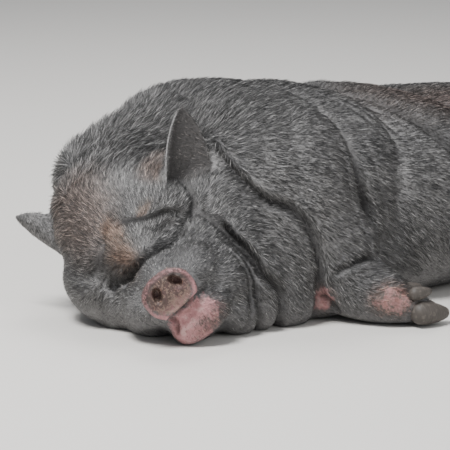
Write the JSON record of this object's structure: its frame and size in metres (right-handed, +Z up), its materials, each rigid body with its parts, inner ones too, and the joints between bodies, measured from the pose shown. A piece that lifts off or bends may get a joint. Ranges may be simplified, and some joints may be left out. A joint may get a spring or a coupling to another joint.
{
  "type": "pot-bellied pig, sleeping, life-size model",
  "caption": "Fat grey pot-bellied pig asleep on its belly, head laid on one cheek with upright ears, legs folded, as a still museum model that rests on its flat underside",
  "frame": {"origin": "centre of the bounding box at floor level", "axes": "+X toward the rump, -Y toward the pig's left side, +Z up from the floor"},
  "size_m": [0.9174, 0.643, 0.2876],
  "materials": {
    "skin": "dark grey wrinkled skin under short grey bristles",
    "bare_skin": "bare pink skin with brown mottling",
    "claw_horn": "dull grey-brown horn",
    "tail_hair": "coarse dark grey hair"
  },
  "bodies": {
    "root": {"head": "skin", "snout": "bare_skin", "jaw": "bare_skin", "ear_left": "skin", "ear_right": "skin", "eyelids_left": "skin", "eyelids_right": "skin", "neck": "skin", "forequarters": "skin", "belly": "skin", "hindquarters": "skin", "foreleg_left": "skin", "foreleg_right": "skin", "hindleg_left": "skin", "hindleg_right": "skin", "tail": "skin", "tail_tassel": "tail_hair", "foreleg_left_claw_1": "claw_horn", "foreleg_left_dewclaw_1": "claw_horn", "foreleg_left_claw_2": "claw_horn", "foreleg_left_dewclaw_2": "claw_horn", "foreleg_right_claw_1": "claw_horn", "foreleg_right_dewclaw_1": "claw_horn", "foreleg_right_claw_2": "claw_horn", "foreleg_right_dewclaw_2": "claw_horn", "hindleg_left_claw_1": "claw_horn", "hindleg_left_dewclaw_1": "claw_horn", "hindleg_left_claw_2": "claw_horn", "hindleg_left_dewclaw_2": "claw_horn", "hindleg_right_claw_1": "claw_horn", "hindleg_right_dewclaw_1": "claw_horn", "hindleg_right_claw_2": "claw_horn", "hindleg_right_dewclaw_2": "claw_horn"}
  },
  "joints": []
}
